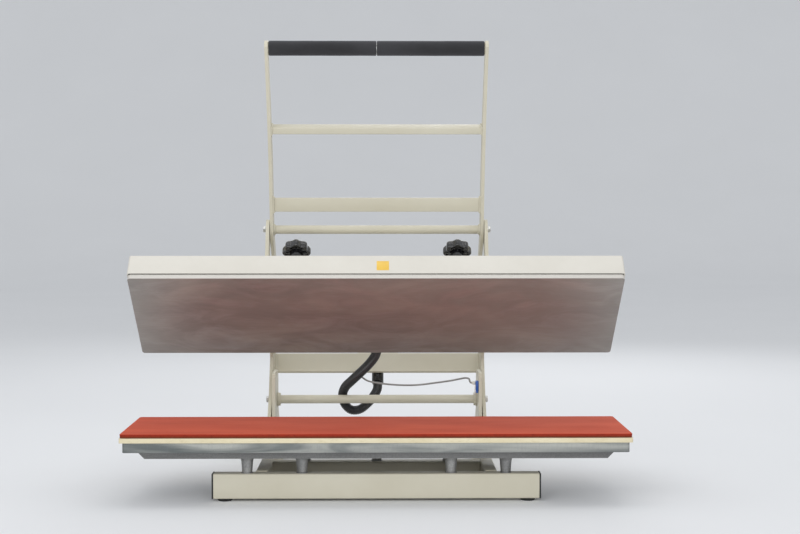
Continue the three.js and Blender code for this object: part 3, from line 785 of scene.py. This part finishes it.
def make_pad():
    """The silicone sponge sheet: a long slab with soft cut edges that isn't perfectly flat."""
    low, high = box_on("base", "silicone_pad")
    across, deep, edge = PAD["cells_across"], PAD["cells_deep"], PAD["edge"]
    centre = (low + high) / 2
    grid = pad_grid(high - low)

    def height(x, y):
        wave = noise.noise(Vector((x / 130, y / 70, 0.3))) + 0.5 * noise.noise(Vector((x / 45, y / 40, 2.1)))
        return high.z - 0.3 + 0.22 * wave
    mesh = bmesh.new()
    top = [[mesh.verts.new((centre.x + x, centre.y + y, height(x, y))) for x, y in row] for row in grid]
    for i in range(across):
        for j in range(deep):
            mesh.faces.new((top[i][j], top[i + 1][j], top[i + 1][j + 1], top[i][j + 1]))
    rim = [(i, 0) for i in range(across)] + [(across, j) for j in range(deep)]
    rim += [(i, deep) for i in range(across, 0, -1)] + [(0, j) for j in range(deep, 0, -1)]
    rings = [[top[i][j] for i, j in rim]]

    def add_ring(spread, level):
        """A ring of points outside the rim. spread and level are rules of a rim point's x and y."""
        ring = []
        for index, (i, j) in enumerate(rim):
            x, y = grid[i][j]
            out_x, out_y = outward(grid, rim, index)
            out = spread(x, y)
            ring.append(mesh.verts.new((centre.x + x + out_x * out, centre.y + y + out_y * out, level(x, y))))
        rings.append(ring)
    rim_steps = 4
    for step in range(1, rim_steps + 1):
        turn = math.pi / 2 * step / rim_steps
        out, sunk = edge * math.sin(turn), edge * (math.cos(turn) - 1)
        add_ring(lambda x, y: out, lambda x, y: height(x, y) + sunk)
    for drop, bulge in ((0.45, -0.25), (0.8, 0.0), (1.0, -0.3)):
        add_ring(lambda x, y: edge + bulge + 0.25 * noise.noise(Vector((x / 9, y / 9, drop * 5))) - 0.25,
                 lambda x, y: height(x, y) - edge + (low.z - height(x, y) + edge) * drop)
    for a, b in zip(rings, rings[1:]):
        for k in range(len(a)):
            n = (k + 1) % len(a)
            mesh.faces.new((a[k], a[n], b[n], b[k]))
    mesh.faces.new(rings[-1])
    pad = make_piece("silicone_sponge_pad", mesh, "base", "silicone", sharp=60)
    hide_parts("silicone_pad")


def outward(grid, rim, index):
    """The outward direction of the pad's rim at one of its points."""
    i, j = rim[index - 1]
    k, m = rim[(index + 1) % len(rim)]
    dx, dy = grid[k][m][0] - grid[i][j][0], grid[k][m][1] - grid[i][j][1]
    size = math.hypot(dx, dy)
    return dy / size, -dx / size


def make_leg_bosses():
    """Cast fillets where each leg meets the bed's rib, and where it stands on the beams."""
    mesh = bmesh.new()
    for node in sorted(NODES):
        if "_leg_" not in node:
            continue
        low, high = box_on("base", node)
        x, y = (low.x + high.x) / 2, (low.y + high.y) / 2
        turned(mesh, moved(x, y, high.z), [(-9, 12.2), (-5, 12.9), (-2, 14.4), (0.2, 17)], 32)
        turned(mesh, moved(x, y, low.z), [(-0.2, 11.6), (0.9, 11.6), (1.6, 10.3), (2.0, 9)], 32)
    make_piece("leg_bosses", mesh, "base", "cast_aluminium", MATERIALS["cast_leg"], sharp=50)


def make_base_welds():
    mesh = bmesh.new()
    front_edge = box_on("base", "front_beam")[1].y
    rear_edge = box_on("base", "rear_beam")[0].y
    support_low, support_high = box_on("base", "support_beam")
    tube_low, tube_high = box_on("base", "hinge_tube")
    for side_name, side in SIDES:
        rail_low, rail_high = box_on("base", f"rail_{side_name}")
        for y in (front_edge, rear_edge):
            top = rail_high.z - 0.4
            seam(mesh, (rail_low.x + 2, y, top), (rail_high.x - 2, y, top))
            for x in (rail_low.x, rail_high.x):
                seam(mesh, (x, y, rail_low.z + 3), (x, y, rail_high.z - 3))
        inner = rail_low.x if side > 0 else rail_high.x
        for y in (support_low.y, support_high.y):
            seam(mesh, (inner, y, support_low.z + 3), (inner, y, support_high.z - 3))
        foot_low, foot_high = box_on("base", f"upright_{side_name}")
        for x in (foot_low.x, foot_high.x):
            seam(mesh, (x, foot_low.y + 4, foot_low.z + 1), (x, foot_high.y - 4, foot_low.z + 1))
        x = tube_high.x - 1.2 if side > 0 else tube_low.x + 1.2
        bead(mesh, circle(x, 0, 0, 14.3), 1.8)
    make_piece("base_welds", mesh, "base", "frame_paint", sharp=60)


def hex_bolt(mesh, place, shank_start):
    """A hexagon bolt along a place's Z, with its washer's seat at height 0."""
    shank, rim, washer = BOLT["shank"], BOLT["washer"], BOLT["washer_height"]
    turned(mesh, place, [(shank_start, shank - 0.8), (shank_start + 1, shank), (0.5, shank)], 24)
    turned(mesh, place, [(0, rim - 0.6), (0.25, rim), (washer - 0.25, rim), (washer, rim - 0.5)], 40)
    top = washer + BOLT["height"]
    corner = BOLT["flats"] / math.cos(math.pi / 6)
    crown = ((1.3, 1.0), (0.9, 0.98), (0.5, 0.94), (0.15, 0.88), (0, 0.82))
    head = [(washer, 6.2), (washer + 0.4, corner)]
    head += [(top - drop, corner * share) for drop, share in crown]
    turned(mesh, place, head, 72, hexagon(BOLT["flats"]))


def make_bolts():
    for body, kind in (("base", "hinge"), ("arm", "lever")):
        for side_name, side in SIDES:
            node = f"{kind}_{side_name}_bolt"
            low, high = box_on(body, node)
            middle = (low + high) / 2
            outer, inner = (high.x, low.x) if side > 0 else (-low.x, -high.x)
            seat = outer - BOLT["height"] - BOLT["washer_height"]
            mesh = bmesh.new()
            turn = ALONG_X if side > 0 else ALONG_MINUS_X
            hex_bolt(mesh, moved(side * seat, middle.y, middle.z, turn), inner - seat)
            bolt = make_piece(f"{kind}_bolt_{side_name}", mesh, body, "zinc_steel", sharp=25)
            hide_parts(node)


def make_limit_switch():
    """The microswitch: its case, its two screws and three terminals, and its wire's connector."""
    low, high = box_on("base", "limit_switch")
    mesh = bmesh.new()
    slab(mesh, (low.x + 0.4, low.y, low.z + 5.5), (high.x, high.y, high.z), 0.6)
    slab(mesh, (low.x, low.y + 0.6, low.z + 7), (low.x + 1.2, high.y - 0.6, high.z - 1), 0.3)
    slab(mesh, (low.x + 0.8, low.y + 2, low.z), (high.x - 0.6, high.y - 3, low.z + 6), 0.5)
    slab(mesh, (low.x + 2, low.y - 1.2, low.z + 14), (high.x - 2, low.y + 1, low.z + 17), 0.3)
    switch = make_piece("limit_switch_case", mesh, "base", "switch_plastic", sharp=30)
    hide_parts("limit_switch")
    mesh = bmesh.new()
    for z in (low.z + 9.5, high.z - 3.6):
        socket_screw(mesh, moved(low.x, (low.y + high.y) / 2 + 1.5, z, ALONG_MINUS_X), 2.2)
    for i in range(3):
        z = low.z + 8 + 5.5 * i
        slab(mesh, (low.x + 2.4, high.y - 0.5, z), (low.x + 3.2, high.y + 4.2, z + 3), 0.2)
    make_piece("limit_switch_screws", mesh, "base", "zinc_steel", sharp=30)
    mesh = bmesh.new()
    _, y, z = WIRE_ROUTE[-1]
    slab(mesh, (low.x - 7.3, y - 4, z - 3.6), (low.x - 0.3, y + 4, z + 3.4), 1.1)
    slab(mesh, (low.x - 8.6, y - 2.5, z - 2.3), (low.x - 6.5, y + 2.5, z + 2.3), 0.8)
    make_piece("switch_connector", mesh, "base", "white_plastic", sharp=30)


# ---------- arm ----------
def make_arm_welds():
    mesh = bmesh.new()
    plate_low, plate_high = box_on("arm", "arm_rear_plate")
    beam_low, beam_high = box_on("arm", "pressure_beam")
    bosses_above_beam = 8
    for side_name, side in SIDES:
        x = plate_high.x - 0.6 if side > 0 else plate_low.x + 0.6
        for y in (plate_low.y, plate_high.y):
            seam(mesh, (x, y, plate_low.z + 3), (x, y, plate_high.z - 3))
        x = beam_high.x - 0.6 if side > 0 else beam_low.x + 0.6
        beam_top = beam_high.z - bosses_above_beam
        bead(mesh, rectangle(x, beam_low.y + 1, beam_high.y - 1, beam_low.z + 1, beam_top - 1))
        low, high = box_on("arm", f"platen_bracket_{side_name}")
        x, y = (low.x + high.x) / 2, (low.y + high.y) / 2
        turns = [math.tau * i / 32 for i in range(32)]
        ring = [(x + 13.4 * math.cos(turn), y + 13.4 * math.sin(turn), low.z + 6.2) for turn in turns]
        bead(mesh, ring, 2.0)
    make_piece("arm_welds", mesh, "arm", "frame_paint", sharp=60)


def make_arm_screws():
    """Small screws: on the cover's back and ends, the brackets and the terminal box."""
    mesh = bmesh.new()
    low, high = box_on("arm", "platen_cover")
    z = low.z + 12
    for x in COVER_SCREWS:
        socket_screw(mesh, moved(x, high.y, z, ALONG_Y), 3.4)
    for y in (low.y + 45, high.y - 45):
        socket_screw(mesh, moved(high.x, y, z, ALONG_X), 3.4)
        socket_screw(mesh, moved(low.x, y, z, ALONG_MINUS_X), 3.4)
    for side_name, _ in SIDES:
        low, high = box_on("arm", f"platen_bracket_{side_name}")
        for x in (low.x + 9, high.x - 9):
            for y in (low.y + 9, high.y - 9):
                socket_screw(mesh, moved(x, y, low.z + 5.7), 5.0)
    low, high = box_on("arm", "terminal_box")
    for x in (low.x + 6, high.x - 6):
        for z in (low.z + 6, high.z - 6):
            socket_screw(mesh, moved(x, high.y + 1.6, z, ALONG_Y), 2.6)
    make_piece("arm_screws", mesh, "arm", "zinc_steel", sharp=30)


def make_terminal_box_lid():
    low, high = box_on("arm", "terminal_box")
    mesh = bmesh.new()
    slab(mesh, (low.x + 0.8, high.y - 0.4, low.z + 0.8), (high.x - 0.8, high.y + 2.0, high.z - 0.8), 1.2)
    slab(mesh, (low.x + 14, high.y + 1.4, low.z + 14), (high.x - 14, high.y + 2.6, high.z - 14), 0.5)
    make_piece("terminal_box_lid", mesh, "arm", "white_plastic", sharp=30)


def make_label():
    """A plain blank label on the cover's front."""
    cover_low = box_on("arm", "platen_cover")[0]
    x, y, z = LABEL["x"], cover_low.y - 0.12, cover_low.z + LABEL["above_cover_edge"]
    wide, high = LABEL["half_width"], LABEL["half_height"]
    mesh = bmesh.new()
    slab(mesh, (x - wide, y - 0.2, z - high), (x + wide, y + 0.25, z + high), 0.1)
    make_piece("blank_label", mesh, "arm", material=MATERIALS["label"])


# ---------- pressure knobs ----------
def make_knob(side_name):
    """A star knob turned about its own axis: a hub below, a thin web, a lobed rim and a sunk top."""
    body = f"pressure_knob_{side_name}"
    radius, height, hub, foot = KNOB["radius"], KNOB["height"], KNOB["hub"], -KNOB["hub_depth"]
    bore, smooth_inside = 5.4, 22

    def lobed(angle, z, r):
        share = max(0.0, (r - smooth_inside) / (radius - smooth_inside))
        return r - share * KNOB["scallop"] * (0.5 - 0.5 * math.cos(angle * KNOB["lobes"]))
    mesh = bmesh.new()
    turned(mesh, Matrix.Identity(4), [
        (foot, bore), (foot, 11.4), (foot + 0.7, 12.2), (-2, hub - 0.4), (4.6, hub), (5.4, hub + 0.8),
        (5.6, 21.5), (5.0, 22.8), (1.0, 23.6), (0.2, 24.2), (0, 25.4), (0, 27.6), (0.5, 28.9), (1.6, 29.9),
        (3.4, radius), (13.5, radius), (16.2, 29.9), (18.2, 28.3), (19.4, 25.8), (height, 22),
        (height, 10.2), (19.7, 9.4), (18.9, 9.0), (18.9, bore)], 128, lobed, closed=True)
    for i in range(KNOB["lobes"]):
        turn = Matrix.Rotation(math.tau * i / KNOB["lobes"], 4, "Z")
        slab(mesh, (hub - 1, -1.1, 1.8), (24, 1.1, 6.5), 0.4, turn)
    knob = make_piece(f"star_knob_{side_name}", mesh, body, "black_plastic", sharp=30)
    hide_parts(f"knob_{side_name}")


def make_screw(side_name):
    """The pressure screw: a threaded rod up to the knob's hub, and a nut and rod end on the knob's top."""
    body = f"pressure_knob_{side_name}"
    foot = box_on(body, f"screw_{side_name}")[0].z
    radius, pitch, depth = SCREW["radius"], SCREW["pitch"], SCREW["depth"]

    def thread(angle, z, r):
        if r < radius - 0.01:
            return r
        phase = (z / pitch - angle / math.tau) % 1.0
        return r - depth * abs(2 * phase - 1)
    step = pitch / 6
    start, stop, nut_seat = foot + 2, 1 - KNOB["hub_depth"], 17
    profile = [(foot, radius - 1.2), (start - 0.4, radius - 0.9)]
    profile += [(start + step * i, radius) for i in range(int((stop - start) / step))]
    profile += [(stop, radius - 0.3), (nut_seat, radius - 0.3)]
    mesh = bmesh.new()
    turned(mesh, Matrix.Identity(4), profile, 28, thread)
    turned(mesh, Matrix.Identity(4), [(nut_seat, 6), (17.5, 8.6), (20.2, 8.6), (20.9, 7.8)], 60, hexagon(7.4))
    turned(mesh, Matrix.Identity(4), [(20.5, 4.9), (22.2, 4.9), (22.9, 4.0)], 28)
    screw = make_piece(f"pressure_screw_{side_name}", mesh, body, "zinc_steel", sharp=50)
    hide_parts(f"screw_{side_name}")


# ---------- lever ----------
def make_lever_welds():
    mesh = bmesh.new()
    tube_low, tube_high = box_on("lever", "lever_pivot_tube")
    bar_low, bar_high = box_on("lever", "lever_mid_bar")
    for x in (tube_low.x + 0.8, tube_high.x - 0.8):
        bead(mesh, circle(x, 0, 0, 9.6), 3.2)
        bead(mesh, rectangle(x, bar_low.y - 0.3, bar_high.y + 0.3, bar_low.z - 0.5, bar_high.z + 0.5), 3.8)
        bead(mesh, crossbar_outline(x), 2.8)
        bead(mesh, circle(x, GRIP["y"], GRIP["z"], 11.2, 32), 1.6)
        bead(mesh, circle(x, TAIL["y"], TAIL["z"], TAIL["radius"], 20), 1.8)
    make_piece("lever_welds", mesh, "lever", "frame_paint", sharp=60)


def crossbar_outline(x):
    """The corners of the crossbar's tilted section, at one x."""
    tip = Matrix.Rotation(CROSSBAR["tip"], 4, "X")
    middle = Vector((x, CROSSBAR["y"], CROSSBAR["z"]))
    deep, high = CROSSBAR["half_depth"], CROSSBAR["half_height"]
    corners = [(-deep, -high), (deep, -high), (deep, high), (-deep, high)]
    return [tuple(tip @ Vector((0, y, z)) + middle) for y, z in corners]


def make_grips():
    """Two closed-cell foam sleeves that meet in the middle, with soft ends."""
    radius, bore, steps = GRIP["radius"], GRIP["bore"], 60
    ease = ((0.15, 1.5), (0.5, 0.8), (1.2, 0.25))
    straight = 2.4

    def worn(angle, height, r):
        if r < radius - 2:
            return r
        where = Vector((height / 34, math.cos(angle) * 0.6, math.sin(angle) * 0.6 + side))
        return r - 0.15 + 0.2 * noise.noise(where)
    for side_name, side in SIDES:
        low, high = box_on("lever", f"grip_foam_{side_name}")
        length = high.x - low.x
        profile = [(x, radius - inset) for x, inset in ease]
        profile += [(straight + (length - 2 * straight) * i / steps, radius) for i in range(steps + 1)]
        profile += [(length - x, radius - inset) for x, inset in reversed(ease)]
        profile += [(length, radius - 3), (length, bore), (0, bore), (0, radius - 3)]
        mesh = bmesh.new()
        turned(mesh, moved(low.x, GRIP["y"], GRIP["z"], ALONG_X), profile, 48, worn, closed=True)
        grip = make_piece(f"foam_sleeve_{side_name}", mesh, "lever", "foam", sharp=50)
        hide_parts(f"grip_foam_{side_name}")


make_camera()
make_studio()
make_floor()
MATERIALS = make_materials()
dress_nodes()
make_hose()
make_wire()
make_gland()
make_outlet()
make_pad()
make_leg_bosses()
make_base_welds()
make_bolts()
make_limit_switch()
make_arm_welds()
make_arm_screws()
make_terminal_box_lid()
make_label()
for knob_side, _ in SIDES:
    make_knob(knob_side)
    make_screw(knob_side)
make_lever_welds()
make_grips()
